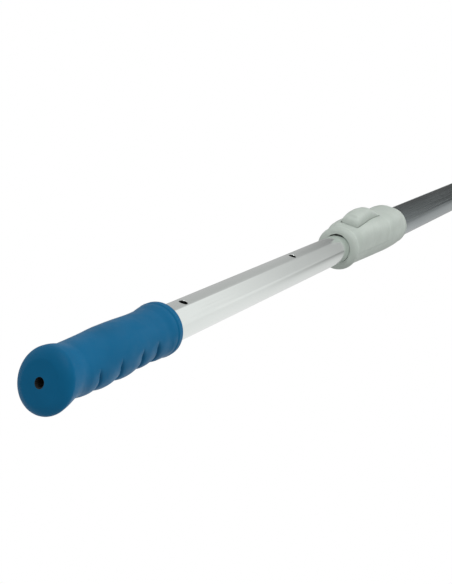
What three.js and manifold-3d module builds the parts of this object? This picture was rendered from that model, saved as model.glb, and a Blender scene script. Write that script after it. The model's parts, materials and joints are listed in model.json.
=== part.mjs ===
// A telescopic pool pole with a moulded grip and a lever lock, carrying a clip-on wall brush.
// Millimetres. +X runs along the pole from the grip to the brush and +Z is up. Every piece is made
// with x = 0 at the grip's rounded end, on the pole's axis. The whole tool is then moved so that the
// origin is in the middle of its box and level with its lowest point.

import * as THREE from "three";
import { mergeVertices } from "three/addons/utils/BufferGeometryUtils.js";
import Module from "manifold-3d";

const wasm = await Module();
wasm.setup();

// Driving dimensions
const GAP = 0.3;
// The lever and the lock holes stand this far to the right of the top, seen from the grip
const CLOCK = THREE.MathUtils.degToRad(16);
const ROUND = 32;
const SMALL_ROUND = 16;

const INNER_TUBE = { radius: 12.7, wall: 1.2, start: 12, end: 1112 };
const OUTER_TUBE = { radius: 15.875, wall: 1.2, start: 452, end: 1602 };
const LOCK_HOLE = { radius: 3, first: 148.5, pitch: 181, count: 6, inLiner: 3.6, inOuterTube: 3.8 };
const GRIP = { end: 124, boreRadius: 13.05, boreStart: 11.5, hangHole: 2.5, sides: 24 };
const POMMEL = { lean: 0.27, rim: 5, dome: 5.6, neck: 25, reach: 17 };
const GRIP_CREASES = [25, 40, 61, 84, 102, 117];
const CREASE_DEPTH = 1.5;

const COLLAR = { start: 440, shelf: 446, end: 598, bore: 16.2, mouth: 13.05 };
const MOUTH_ARCH = { radius: 11, rise: 3.1 };
const LINER = { start: 446.4, flangeEnd: 451.6, end: 521.5, bore: 13.05, radius: 14.3, flange: 15.8 };
const LEVER = { start: 455.5, end: 534, clearance: 0.55 };
const PIVOT = { x: 480, z: 19.5, radius: 1.5, near: -10.2, far: 11.6 };
const LOCK_PIN = { x: 510.5, radius: 2.3, tip: 12.95, top: 22 };
const SPRING = { x: 464, radius: 2.8, wire: 0.4, bottom: 16.8, top: 24.6, turns: 4.5, stepsPerTurn: 10 };
const SCREW = { shank: 1.6, head: 3.1, hole: 1.9 };
const COLLAR_SCREWS = { front: 470, rear: 576 };

const GUIDE = { start: 1067, end: 1112, bore: 13.05, radius: 14.3 };
const SNAP_RING = { start: 1065.5, end: 1066.7, bore: 13, radius: 14.2 };
const TUBE_PLUG = { start: 1086, end: 1116, radius: 11.2, flange: 14, bore: 8, floor: 3 };

const SPIGOT = { start: 1507, radius: 14.3, bore: 11.3, boreEnd: 1596, shoulder: 15.8 };
const CLIP = { x: 1530, heel: 1588, width: 8, buttonRadius: 3.9, reach: 17.9, holeRadius: 5.1 };

const HEAD_TILT = THREE.MathUtils.degToRad(30);
const HEAD = { x: 1650, rear: -23, front: 35 };
const BACK = { flatHalf: 104, bendRadius: 172, bendAngle: 18, thickness: 13, sweepSteps: 8 };
const BACK_HALF = BACK.flatHalf + BACK.bendRadius * THREE.MathUtils.degToRad(BACK.bendAngle);
const BUMPER = { length: 8, proud: 1.5, wider: 1 };
const FOOT = { rear: -19, front: 30, half: 30, thickness: 4 };
const TUFT = { pitch: 14, perSide: 11, root: 7.4, tip: 10, length: 37, depth: 7, spine: 1.6 };
const TUFT_ROWS = [-16, -5, 6, 17, 28];

// Materials
const surface = (colour, roughness, metalness) =>
  new THREE.MeshStandardMaterial({ color: colour, roughness, metalness });
const BLUE_RUBBER = () => surface(0x1e6a9a, 0.5, 0);
const ANODISED = () => surface(0xd4d8d8, 0.3, 1);
const GREY_PLASTIC = () => surface(0xaeb4ae, 0.5, 0);
const WHITE_PLASTIC = () => surface(0xe6e6e0, 0.5, 0);
const STEEL = () => surface(0xb8b8b8, 0.35, 1);
const BLUE_PLASTIC = () => surface(0x1b5f90, 0.45, 0);
const NYLON = () => surface(0xf2f4f4, 0.6, 0);

// Solids from three.js geometry
function signedVolume(vertices, triangles) {
  const a = new THREE.Vector3();
  const b = new THREE.Vector3();
  const c = new THREE.Vector3();
  let total = 0;
  for (let i = 0; i < triangles.length; i += 3) {
    a.fromArray(vertices, 3 * triangles[i]);
    b.fromArray(vertices, 3 * triangles[i + 1]);
    c.fromArray(vertices, 3 * triangles[i + 2]);
    total += a.dot(b.cross(c));
  }
  return total;
}

function solid(geometry) {
  const bare = geometry.clone();
  bare.deleteAttribute("normal");
  bare.deleteAttribute("uv");
  const merged = mergeVertices(bare, 1e-4);
  const vertices = new Float32Array(merged.attributes.position.array);
  const kept = [];
  for (let i = 0; i < merged.index.count; i += 3) {
    const [a, b, c] = [0, 1, 2].map((k) => merged.index.getX(i + k));
    if (a !== b && b !== c && c !== a) kept.push(a, b, c);
  }
  if (signedVolume(vertices, kept) < 0) kept.reverse();
  const mesh = new wasm.Mesh({
    numProp: 3,
    vertProperties: vertices,
    triVerts: new Uint32Array(kept),
  });
  return new wasm.Manifold(mesh);
}

function part(name, shape, material) {
  const mesh = shape.getMesh();
  const geometry = new THREE.BufferGeometry();
  geometry.setAttribute("position", new THREE.Float32BufferAttribute(mesh.vertProperties, 3));
  geometry.setIndex(Array.from(mesh.triVerts));
  geometry.computeVertexNormals();
  const made = new THREE.Mesh(geometry, material);
  made.name = name;
  return made;
}

function rod(start, end, radius, segments = ROUND) {
  const geometry = new THREE.CylinderGeometry(radius, radius, end - start, segments);
  geometry.rotateZ(-Math.PI / 2);
  geometry.translate((start + end) / 2, 0, 0);
  return geometry;
}

function upright(x, y, bottom, top, radius, segments = SMALL_ROUND) {
  const geometry = new THREE.CylinderGeometry(radius, radius, top - bottom, segments);
  geometry.rotateX(Math.PI / 2);
  geometry.translate(x, y, (bottom + top) / 2);
  return geometry;
}

function crosswise(x, z, near, far, radius, segments = SMALL_ROUND) {
  const geometry = new THREE.CylinderGeometry(radius, radius, far - near, segments);
  geometry.translate(x, (near + far) / 2, z);
  return geometry;
}

// profile: [x, radius] pairs, closed on itself or starting and ending on the axis
function turned(profile, segments = ROUND) {
  const points = profile.map(([x, r]) => new THREE.Vector2(r, x));
  const geometry = new THREE.LatheGeometry(points, segments);
  geometry.rotateZ(-Math.PI / 2);
  return geometry;
}

function ring(start, end, bore, radius) {
  return turned([[start, bore], [start, radius], [end, radius], [end, bore], [start, bore]]);
}

function extruded(points, depth) {
  const outline = new THREE.Shape(points.map(([u, v]) => new THREE.Vector2(u, v)));
  return new THREE.ExtrudeGeometry(outline, { depth, bevelEnabled: false });
}

const ALONG_X = new THREE.Vector3(1, 0, 0);
const ALONG_Y = new THREE.Vector3(0, 1, 0);
const ALONG_Z = new THREE.Vector3(0, 0, 1);

// [x, z] outline with thickness across the pole
function slab(points, near, far) {
  const geometry = extruded(points, far - near);
  const backward = ALONG_Y.clone().negate();
  geometry.applyMatrix4(new THREE.Matrix4().makeBasis(ALONG_X, ALONG_Z, backward));
  geometry.translate(0, far, 0);
  return geometry;
}

// [x, y] outline standing on z = bottom
function plate(points, bottom, top) {
  const geometry = extruded(points, top - bottom);
  geometry.translate(0, 0, bottom);
  return geometry;
}

// [y, z] outline running along x
function bar(points, start, end) {
  const geometry = extruded(points, end - start);
  geometry.applyMatrix4(new THREE.Matrix4().makeBasis(ALONG_Y, ALONG_Z, ALONG_X));
  geometry.translate(start, 0, 0);
  return geometry;
}

function mirrored(half) {
  const other = half.map(([x, y]) => [x, -y]).reverse();
  return [...half, ...other];
}

// Value at x on a smooth curve through [x, value] pairs
function curveThrough(pairs) {
  return (x) => {
    const last = pairs.length - 1;
    if (x <= pairs[0][0]) return pairs[0][1];
    if (x >= pairs[last][0]) return pairs[last][1];
    const i = pairs.findIndex((pair) => pair[0] > x) - 1;
    const [x0, v0] = pairs[i];
    const [x1, v1] = pairs[i + 1];
    const t = (x - x0) / (x1 - x0);
    return v0 + (v1 - v0) * t * t * (3 - 2 * t);
  };
}

// Grip: a rounded pommel that leans back, a neck, finger grooves underneath and a front flange
const gripTop = curveThrough([
  [9, 17.6], [14, 17.3], [24, 15.6], [45, 15.9], [62, 16.6], [75, 16.5], [98, 15.9],
  [108, 16.1], [117, 17.4], [121, 17.4], [124, 16.2],
]);
const gripBottom = curveThrough([
  [1, 18.6], [5, 18.0], [20, 15.1], [28, 16.2], [52, 17.2], [72, 17.2], [93, 16.5],
  [108, 16.9], [117, 17.4], [121, 17.2], [124, 16.0],
]);

function creaseDepth(x) {
  const i = GRIP_CREASES.findIndex((place) => place > x);
  if (i < 1) return 0;
  const [from, to] = [GRIP_CREASES[i - 1], GRIP_CREASES[i]];
  const bulge = Math.sin((Math.PI * (x - from)) / (to - from));
  const fade = i === 1 ? (x - from) / (to - from) : i === 5 ? (to - x) / (to - from) : 1;
  return CREASE_DEPTH * (1 - Math.sqrt(bulge)) * fade;
}

function gripRadius(x, angle) {
  const height = Math.sin(angle);
  const share = (1 + height) / 2;
  const round = gripBottom(x) * (1 - share) + gripTop(x) * share;
  const below = THREE.MathUtils.smoothstep(-height, -0.1, 0.5);
  return round - creaseDepth(x) * below;
}

function gripRing(centre, lean, radiusAt) {
  const points = [];
  for (let k = 0; k < GRIP.sides; k += 1) {
    const angle = (2 * Math.PI * k) / GRIP.sides;
    const z = Math.sin(angle);
    const trial = centre + lean * z * POMMEL.reach;
    const radius = radiusAt(trial, angle);
    points.push([centre + lean * z * radius, radius * Math.cos(angle), radius * z]);
  }
  return points;
}

function loft(rings, first, last) {
  const count = rings[0].length;
  const positions = [first, ...rings.flat(), last].flat();
  const triangles = [];
  for (let k = 0; k < count; k += 1) {
    const next = (k + 1) % count;
    triangles.push(0, 1 + next, 1 + k);
    for (let i = 0; i + 1 < rings.length; i += 1) {
      const [a, b] = [1 + i * count + k, 1 + i * count + next];
      triangles.push(a, b, a + count, b, b + count, a + count);
    }
    const end = 1 + (rings.length - 1) * count;
    triangles.push(positions.length / 3 - 1, end + k, end + next);
  }
  const geometry = new THREE.BufferGeometry();
  geometry.setAttribute("position", new THREE.Float32BufferAttribute(positions, 3));
  geometry.setIndex(triangles);
  return geometry;
}

function grip() {
  const { lean, rim, dome, neck } = POMMEL;
  const rings = [];
  for (const share of [0.4, 0.7, 0.88, 0.97]) {
    const depth = dome * Math.sqrt(1 - share ** 2);
    rings.push(gripRing(rim - depth, lean, (x, angle) => share * gripRadius(rim, angle)));
  }
  for (let x = rim; x < neck; x += 4) {
    rings.push(gripRing(x, (lean * (neck - x)) / (neck - rim), gripRadius));
  }
  const stations = [neck, 32, 38, 40, 42, 50, 59, 61, 63, 72, 82, 84, 86, 93, 100, 102, 104];
  stations.push(110, 115, 119, 122, GRIP.end);
  for (const x of stations) rings.push(gripRing(x, 0, gripRadius));
  const tip = rim - dome;
  const body = solid(loft(rings, [tip, 0, 0], [GRIP.end, 0, 0]));
  const bore = solid(rod(GRIP.boreStart, GRIP.end + 1, GRIP.boreRadius));
  const hole = solid(rod(tip - 5, GRIP.boreStart + 1, GRIP.hangHole, SMALL_ROUND));
  return part("grip", body.subtract(bore).subtract(hole), BLUE_RUBBER());
}

// Pole tubes and what slides in them
function innerTube() {
  const { start, end, radius, wall } = INNER_TUBE;
  let tube = solid(ring(start, end, radius - wall, radius));
  for (let i = 0; i < LOCK_HOLE.count; i += 1) {
    const x = LOCK_HOLE.first + i * LOCK_HOLE.pitch;
    tube = tube.subtract(solid(upright(x, 0, -radius - 1, radius + 1, LOCK_HOLE.radius)));
  }
  return part("inner_tube", tube, ANODISED());
}

function outerTube() {
  const { start, end, radius, wall } = OUTER_TUBE;
  const pinHole = upright(LOCK_PIN.x, 0, 10, radius + 1, LOCK_HOLE.inOuterTube);
  const clipHoles = crosswise(CLIP.x, 0, -radius - 1, radius + 1, CLIP.holeRadius);
  clipHoles.rotateX(-CLOCK);
  let tube = solid(ring(start, end, radius - wall, radius));
  tube = tube.subtract(solid(pinHole)).subtract(solid(clipHoles));
  for (const x of Object.values(COLLAR_SCREWS)) {
    tube = tube.subtract(solid(upright(x, 0, -radius - 1, -10, SCREW.hole)));
  }
  return part("outer_tube", tube, ANODISED());
}

function linerBush() {
  const { start, flangeEnd, end, bore, radius, flange } = LINER;
  const profile = [
    [start, bore], [start, flange], [flangeEnd, flange], [flangeEnd, radius],
    [end, radius], [end, bore], [start, bore],
  ];
  const pinHole = upright(LOCK_PIN.x, 0, 10, radius + 1, LOCK_HOLE.inLiner);
  return part("liner_bush", solid(turned(profile)).subtract(solid(pinHole)), WHITE_PLASTIC());
}

function guideBush() {
  const { start, end, bore, radius } = GUIDE;
  return part("guide_bush", solid(ring(start, end, bore, radius)), WHITE_PLASTIC());
}

function retainingRing() {
  const { start, end, bore, radius } = SNAP_RING;
  return part("retaining_ring", solid(ring(start, end, bore, radius)), STEEL());
}

function tubePlug() {
  const { start, end, radius, flange, bore, floor } = TUBE_PLUG;
  const seat = INNER_TUBE.end + GAP;
  const profile = [
    [start, 0], [start, radius], [seat, radius], [seat, flange], [end, flange],
    [end, bore], [start + floor, bore], [start + floor, 0],
  ];
  return part("inner_tube_plug", solid(turned(profile)), WHITE_PLASTIC());
}

// Collar, built with its lever straight up
function leverPlan(margin) {
  const half = [
    [455.5, 5.2], [456.6, 7.4], [459.5, 8.2], [468, 8], [480, 7.2], [492, 6], [506, 5],
    [520, 4.3], [531, 4], [533.4, 3.2], [534, 1.6],
  ];
  const length = LEVER.end - LEVER.start;
  const stretch = (length + 2 * margin) / length;
  const spread = half.map(([x, y]) => [
    LEVER.start - margin + (x - LEVER.start) * stretch,
    y + margin,
  ]);
  return mirrored(spread);
}

function saddle() {
  const side = [
    [443, 10], [443, 18.4], [450, 20.2], [456, 21.1], [470, 22.8], [490, 22.9], [505, 22.6],
    [520, 22], [534, 21.8], [548, 21.9], [560, 21.6], [572, 20.4], [572, 10],
  ];
  const plan = mirrored([[443, 9], [456, 12.6], [480, 12.4], [510, 11.5], [545, 11], [572, 7]]);
  const section = [
    [-14, 10], [-12.6, 17.4], [-10, 21.6], [-7.6, 24], [7.6, 24], [10, 21.6], [12.6, 17.4], [14, 10],
  ];
  const block = solid(slab(side, -15, 15)).intersect(solid(plate(plan, 9, 25)));
  return block.intersect(solid(bar(section, 440, 575)));
}

function collarBody() {
  const { start, shelf, end, bore, mouth } = COLLAR;
  const profile = [
    [start, 0], [start, 17.9], [441, 19], [444, 19.3], [447, 19.1], [451, 18.5],
    [458, 18.3], [470, 18.45], [500, 19.2], [530, 19.9], [556, 20.25], [576, 20], [588, 19.4],
    [596, 18.4], [end, 17.4], [end, 0],
  ];
  const arch = rod(start - 1, shelf + 1, MOUTH_ARCH.radius);
  arch.translate(0, MOUTH_ARCH.rise * Math.sin(CLOCK), MOUTH_ARCH.rise * Math.cos(CLOCK));
  let body = solid(turned(profile)).add(saddle());
  body = body.subtract(solid(rod(shelf, end + 1, bore)));
  body = body.subtract(solid(rod(start - 1, shelf + 1, mouth))).subtract(solid(arch));
  body = body.subtract(solid(plate(leverPlan(LEVER.clearance), 14, 30)));
  const pivotHole = crosswise(PIVOT.x, PIVOT.z, PIVOT.near - GAP, 20, PIVOT.radius + 0.2);
  body = body.subtract(solid(pivotHole));
  for (const x of Object.values(COLLAR_SCREWS)) {
    body = body.subtract(solid(upright(x, 0, -25, -10, SCREW.hole)));
    body = body.subtract(solid(upright(x, 0, -25, -18, SCREW.head + GAP)));
  }
  return part("collar_body", body, GREY_PLASTIC());
}

function lever() {
  const side = [
    [455.5, 17.6], [472, 17.6], [474, 16.4], [484, 16.6], [534, 19.3], [534, 22],
    [527, 23.6], [518, 26], [508, 28.8], [497, 31.6], [487, 33.4], [478, 34],
    [470, 33.6], [463, 32], [457.5, 28.8], [455.5, 26.4],
  ];
  let body = solid(slab(side, -9, 9)).intersect(solid(plate(leverPlan(0), 10, 40)));
  const springPocket = upright(SPRING.x, 0, 10, SPRING.top + 0.7, 4.2);
  const pinSocket = upright(LOCK_PIN.x, 0, 10, LOCK_PIN.top + GAP, LOCK_PIN.radius + GAP);
  const pivotHole = crosswise(PIVOT.x, PIVOT.z, -20, 20, PIVOT.radius + 0.15);
  body = body.subtract(solid(springPocket)).subtract(solid(pinSocket)).subtract(solid(pivotHole));
  return part("lever", body, GREY_PLASTIC());
}

function pivotPin() {
  const pin = crosswise(PIVOT.x, PIVOT.z, PIVOT.near, PIVOT.far, PIVOT.radius);
  return part("lever_pivot_pin", solid(pin), STEEL());
}

// A pin or screw stood upright at x, y: [z, radius] profile from the axis back to the axis
function stood(profile, x, y) {
  const geometry = new THREE.LatheGeometry(
    profile.map(([z, r]) => new THREE.Vector2(r, z)),
    SMALL_ROUND,
  );
  geometry.rotateX(Math.PI / 2);
  geometry.translate(x, y, 0);
  return geometry;
}

function lockPin() {
  const { x, radius, tip, top } = LOCK_PIN;
  const profile = [[tip, 0], [tip, radius - 0.5], [tip + 0.5, radius], [top, radius], [top, 0]];
  return part("lock_pin", solid(stood(profile, x, 0)), STEEL());
}

function collarScrew(name, x) {
  const { shank, head } = SCREW;
  const profile = [
    [-19.8, 0], [-19.8, head - 0.6], [-19.2, head], [-18.3, head], [-18.3, shank],
    [-15.2, shank], [-14.8, 0.8], [-14.8, 0],
  ];
  const slot = new THREE.BoxGeometry(8, 0.9, 1.2);
  slot.translate(x, 0, -19.8);
  return part(name, solid(stood(profile, x, 0)).subtract(solid(slot)), STEEL());
}

class Helix extends THREE.Curve {
  getPoint(t, target = new THREE.Vector3()) {
    const turn = 2 * Math.PI * SPRING.turns * t;
    const height = THREE.MathUtils.lerp(SPRING.bottom, SPRING.top, t);
    return target.set(
      SPRING.x + SPRING.radius * Math.cos(turn),
      SPRING.radius * Math.sin(turn),
      height,
    );
  }
}

function leverSpring() {
  const wire = new THREE.Shape();
  wire.absarc(0, 0, SPRING.wire, 0, 2 * Math.PI);
  const steps = Math.round(SPRING.turns * SPRING.stepsPerTurn);
  const options = { steps, curveSegments: 5, bevelEnabled: false, extrudePath: new Helix() };
  return part("lever_spring", solid(new THREE.ExtrudeGeometry(wire, options)), STEEL());
}

// Clip-on head
const headPlace = new THREE.Matrix4()
  .makeTranslation(HEAD.x, 0, 0)
  .multiply(new THREE.Matrix4().makeRotationY(-HEAD_TILT));

const footScrews = [-9, 22].flatMap((x) => [[x, -23], [x, 23]]);

function rectangle(start, end, half, corner) {
  return mirrored([
    [start, half - corner], [start + 0.3 * corner, half - 0.3 * corner], [start + corner, half],
    [end - corner, half], [end - 0.3 * corner, half - 0.3 * corner], [end, half - corner],
  ]);
}

function headBracket() {
  const { start, radius, bore, boreEnd } = SPIGOT;
  const shoulder = OUTER_TUBE.end + GAP;
  const tip = HEAD.x + 26;
  const profile = [
    [start, 0], [start, radius - 0.8], [start + 2, radius], [shoulder, radius],
    [shoulder, SPIGOT.shoulder], [HEAD.x - 34, SPIGOT.shoulder], [HEAD.x - 28, 15.2], [tip, 12], [tip, 0],
  ];
  const below = plate(rectangle(-90, 90, 60, 1), -90, 1);
  const foot = plate(rectangle(FOOT.rear, FOOT.front, FOOT.half, 8), GAP, GAP + FOOT.thickness);
  below.applyMatrix4(headPlace);
  foot.applyMatrix4(headPlace);
  let body = solid(turned(profile)).subtract(solid(below)).add(solid(foot));
  body = body.subtract(solid(rod(start - 1, boreEnd, bore)));
  body = body.subtract(solid(crosswise(CLIP.x, 0, -20, 20, CLIP.buttonRadius + 0.9)));
  for (const [x, y] of footScrews) {
    const hole = upright(x, y, -1, 6, SCREW.hole);
    hole.applyMatrix4(headPlace);
    body = body.subtract(solid(hole));
  }
  return part("head_bracket", body, GREY_PLASTIC());
}

function clipHeel() {
  const [start, end] = [CLIP.heel + 0.4, CLIP.heel + 7.4];
  const outline = [[start, -5], [end, -5], [end, 5], [start, 5]];
  return part("clip_heel", solid(slab(outline, -7, 7)), STEEL());
}

// side is 1 for the +Y half and -1 for the -Y half
function clipLeg(name, side) {
  const points = [
    [CLIP.heel, 1.2], [CLIP.heel, 2.2], [CLIP.x - 4, 7.7], [CLIP.x - 4, 6.7],
  ];
  const leg = plate(points.map(([x, y]) => [x, side * y]), -CLIP.width / 2, CLIP.width / 2);
  return part(name, solid(leg), STEEL());
}

function clipButton(name, side) {
  const { x, buttonRadius, reach } = CLIP;
  const profile = [
    [8, 0], [8, 5.2], [9.4, 5.2], [9.4, buttonRadius], [reach - 1.2, buttonRadius],
    [reach - 0.3, buttonRadius - 1.2], [reach, 1.5], [reach, 0],
  ];
  const button = stood(profile, 0, 0);
  button.rotateX((-side * Math.PI) / 2);
  button.translate(x, 0, 0);
  return part(name, solid(button), WHITE_PLASTIC());
}

// Brush back: flat in the middle, with both ends swept up on an arc
function sweepPoint(distance, depth) {
  const flat = Math.min(distance, BACK.flatHalf);
  const angle = (distance - flat) / BACK.bendRadius;
  return [
    flat + (BACK.bendRadius + depth) * Math.sin(angle),
    BACK.bendRadius - (BACK.bendRadius + depth) * Math.cos(angle),
  ];
}

// Points along the sweep at one depth below the top of the back
function sweptLine(from, to, depth, steps) {
  const points = [];
  for (let i = 0; i <= steps; i += 1) {
    points.push(sweepPoint(THREE.MathUtils.lerp(from, to, i / steps), depth));
  }
  return points;
}

// A [y, z] outline completed by its mirror image on the other side
function bothSides(half) {
  return [...half, ...half.map(([y, z]) => [-y, z]).reverse()];
}

function brushBack() {
  const underside = sweptLine(BACK.flatHalf, BACK_HALF, BACK.thickness, BACK.sweepSteps);
  const top = sweptLine(BACK_HALF, BACK.flatHalf, 0, BACK.sweepSteps);
  let body = solid(bar(bothSides([...underside, ...top]), HEAD.rear, HEAD.front));
  for (const [x, y] of footScrews) {
    body = body.subtract(solid(upright(x, y, -9.4, 2, SCREW.hole)));
  }
  return part("brush_back", body, BLUE_PLASTIC());
}

function endBumper(name, side) {
  const { length, proud, wider } = BUMPER;
  const [inner, outer] = [BACK_HALF + GAP, BACK_HALF + length];
  const underside = sweptLine(inner, outer, BACK.thickness + proud, 1);
  const top = sweptLine(outer, inner, -proud, 1);
  const outline = [...underside, ...top].map(([y, z]) => [side * y, z]);
  return part(name, solid(bar(outline, HEAD.rear - wider, HEAD.front + wider)), BLUE_RUBBER());
}

// One row of bristle tufts on its spine, as a comb
function tuftRow(name, x) {
  const top = BACK.thickness + GAP;
  const bottom = top + TUFT.spine;
  const half = [];
  for (let i = 0; i < TUFT.perSide; i += 1) {
    const centre = TUFT.pitch * (i + 0.5);
    const reach = bottom + TUFT.length;
    const spread = TUFT.tip / 2 / (1 + (centre > BACK.flatHalf ? reach / BACK.bendRadius : 0));
    half.push(sweepPoint(centre - TUFT.root / 2, bottom));
    half.push(sweepPoint(centre - spread, reach));
    half.push(sweepPoint(centre + spread, reach));
    half.push(sweepPoint(centre + TUFT.root / 2, bottom));
  }
  const reachEnd = TUFT.pitch * TUFT.perSide + 1;
  const spine = sweptLine(reachEnd, BACK.flatHalf, top, 5);
  const outline = bothSides([...half, sweepPoint(reachEnd, bottom), ...spine]);
  return part(name, solid(bar(outline, x - TUFT.depth / 2, x + TUFT.depth / 2)), NYLON());
}

function footScrew(name, x, y) {
  const { shank, head } = SCREW;
  const seat = GAP + FOOT.thickness + GAP;
  const profile = [
    [-9, 0], [-8.4, shank], [seat, shank], [seat, head + 0.4], [seat + 1.2, head],
    [seat + 2, 1.4], [seat + 2, 0],
  ];
  const slot = new THREE.BoxGeometry(9, 0.9, 1.6);
  slot.translate(x, y, seat + 2);
  return part(name, solid(stood(profile, x, y)).subtract(solid(slot)), STEEL());
}

// The whole tool
const tool = new THREE.Group();
tool.add(grip());

const pole = new THREE.Group();
pole.rotation.x = CLOCK;
pole.add(innerTube(), retainingRing(), tubePlug(), guideBush());
pole.add(outerTube(), collarBody(), linerBush(), pivotPin(), leverSpring());
pole.add(lever(), lockPin());
for (const [place, x] of Object.entries(COLLAR_SCREWS)) {
  pole.add(collarScrew(`collar_screw_${place}`, x));
}
tool.add(pole);

tool.add(headBracket(), clipHeel());
for (const [word, side] of [["left", 1], ["right", -1]]) {
  tool.add(clipLeg(`clip_leg_${word}`, side), clipButton(`clip_button_${word}`, side));
}

const head = new THREE.Group();
head.applyMatrix4(headPlace);
head.add(brushBack(), endBumper("end_bumper_left", 1), endBumper("end_bumper_right", -1));
TUFT_ROWS.forEach((x, i) => head.add(tuftRow(`tuft_row_${i + 1}`, x)));
footScrews.forEach(([x, y], i) => head.add(footScrew(`foot_screw_${i + 1}`, x, y)));
tool.add(head);

const box = new THREE.Box3().setFromObject(tool);
tool.position.set(-(box.min.x + box.max.x) / 2, 0, -box.min.z);

export default tool;
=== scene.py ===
"""Looks of a telescopic pool pole with a finger grip, a lever lock and a clip-on wall brush.

+X runs along the pole from the grip to the brush and +Z is up. Sizes below are in millimetres, with
x = 0 at the grip's rounded end and the pole's axis at y = z = 0. Meshes are made there, in metres,
and SHIFT moves each finished piece to its place in the row's frame.
"""

import json
import math

import bmesh
import bpy
import numpy as np
from mathutils import Matrix, Vector


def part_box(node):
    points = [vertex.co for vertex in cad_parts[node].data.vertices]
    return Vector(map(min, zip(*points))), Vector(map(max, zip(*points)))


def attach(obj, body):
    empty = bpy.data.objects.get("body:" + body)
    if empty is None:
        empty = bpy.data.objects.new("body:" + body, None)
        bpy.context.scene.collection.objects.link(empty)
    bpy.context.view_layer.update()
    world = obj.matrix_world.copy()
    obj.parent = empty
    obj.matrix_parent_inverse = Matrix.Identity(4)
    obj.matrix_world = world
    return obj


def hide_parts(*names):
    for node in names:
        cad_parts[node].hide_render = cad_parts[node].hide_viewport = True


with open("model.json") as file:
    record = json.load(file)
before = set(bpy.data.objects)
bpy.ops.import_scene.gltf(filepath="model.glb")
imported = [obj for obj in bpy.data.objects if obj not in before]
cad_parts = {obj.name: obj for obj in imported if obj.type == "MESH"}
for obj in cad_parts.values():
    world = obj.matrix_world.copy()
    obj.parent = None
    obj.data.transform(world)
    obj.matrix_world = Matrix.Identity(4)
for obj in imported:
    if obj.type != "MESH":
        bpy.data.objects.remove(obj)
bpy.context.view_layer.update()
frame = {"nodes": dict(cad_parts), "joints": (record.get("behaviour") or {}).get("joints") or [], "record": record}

MM = 0.001


def joint(name):
    return next(j for j in frame["joints"] if j["name"] == name)


INNER_START = 12.0
tube_low, tube_high = (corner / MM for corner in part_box("inner_tube"))
SHIFT = Vector((tube_low.x - INNER_START, 0, (tube_low.z + tube_high.z) / 2))


def span_of(node):
    """Where a CAD node starts and ends along the pole."""
    bottom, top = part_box(node)
    return bottom.x / MM - SHIFT.x, top.x / MM - SHIFT.x


# ---------------------------------------------------------------- sizes, in millimetres

ROCK_AXIS = joint("lever_rock")["axis"]
CLOCK = math.atan2(ROCK_AXIS[2], ROCK_AXIS[1])
CLOCKED = Matrix.Rotation(CLOCK, 4, "X")
PIVOT = Vector(joint("lever_rock")["pos_m"]) / MM - SHIFT
PIVOT_X, PIVOT_Z = PIVOT.x, math.hypot(PIVOT.y, PIVOT.z)

INNER_END = span_of("inner_tube")[1]
INNER_R = 12.7
OUTER_START, OUTER_END = span_of("outer_tube")
OUTER_R = 15.875
WALL = 1.2
LOCK_HOLE_R = 3.0
LOCK_HOLES = [148.5 + 181 * i for i in range(6)]

SLIDE_BORE = 13.05
PIN_HOLE_R = 3.8
SCREW_HOLE_R = 1.9

GRIP_END = span_of("grip")[1]
GRIP_BORE_START = 11.5
GRIP_R = 17.0
HANG_HOLE_R = 2.9
CREASES = [25, 40, 61, 84, 102, 117]
CREASE_DEPTH = 2.4
CREASE_LINE, CREASE_LINE_WIDTH = 0.7, 0.65
CREASE_LEAN = 6.0

COLLAR_START, COLLAR_END = span_of("collar_body")
COLLAR_SHELF = COLLAR_START + 6
COLLAR_BORE = 16.2
MOUTH_R = 12.85
MOUTH_ARCH = [(-9.8, 8), (-9.8, 8.6), (-5.0, 12.65), (0, 13.85), (5.0, 12.65), (9.8, 8.6), (9.8, 8)]
LEVER_START, LEVER_END = span_of("lever")
LEVER_GAP = 0.7
PIN_X = sum(span_of("lock_pin")) / 2
SPRING_X = 464.0
COLLAR_SCREWS = {"collar_screw_front": 470.0, "collar_screw_rear": 576.0}
SCREW_HEAD_Z = -19.8

CLIP_X = 1530.0
CLIP_R = 3.9
CLIP_HOLE_R = 5.1
SPIGOT_R, SPIGOT_BORE, SPIGOT_BORE_END = 14.3, 11.3, 1596.0
SHOULDER_R = 15.8
HEAD_X = 1650.0
HEAD_TILT = math.radians(30)
HEAD_PLACE = Matrix.Translation((HEAD_X, 0, 0)) @ Matrix.Rotation(-HEAD_TILT, 4, "Y")
BACK_REAR, BACK_FRONT = -23.0, 35.0
BACK_THICK = 13.0
FLAT_HALF = 104.0
BEND_R, BEND_ANGLE = 172.0, math.radians(18)
BACK_HALF = FLAT_HALF + BEND_R * BEND_ANGLE
FOOT_TOP = 4.3
FOOT_SCREWS = [(-9, -23), (-9, 23), (22, -23), (22, 23)]
TUFT_ROWS = [-16, -5, 6, 17, 28]
TUFT_PITCH = 14.0
TUFTS_PER_SIDE = 11
BRISTLES_PER_TUFT = 26
TUFT_R, TUFT_FLARE = 2.3, 0.2
BRISTLE_R, BRISTLE_TAPER, BRISTLE_BEND = 0.46, 0.1, 0.4
BRISTLE_TIP, BRISTLE_UNEVEN = 51.8, 1.2
BRISTLE_ROOT = BACK_THICK - 0.6


# ---------------------------------------------------------------- camera

CAMERA_AT = Vector((-397.3, -304.1, 157.1))
CAMERA_RIGHT = Vector((0.44362, -0.89621, 0.0))
CAMERA_BACK = Vector((-0.87487, -0.43306, 0.21692))
FOCAL_PIXELS = 1000.0
FRAME_HEIGHT = 584.0


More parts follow.
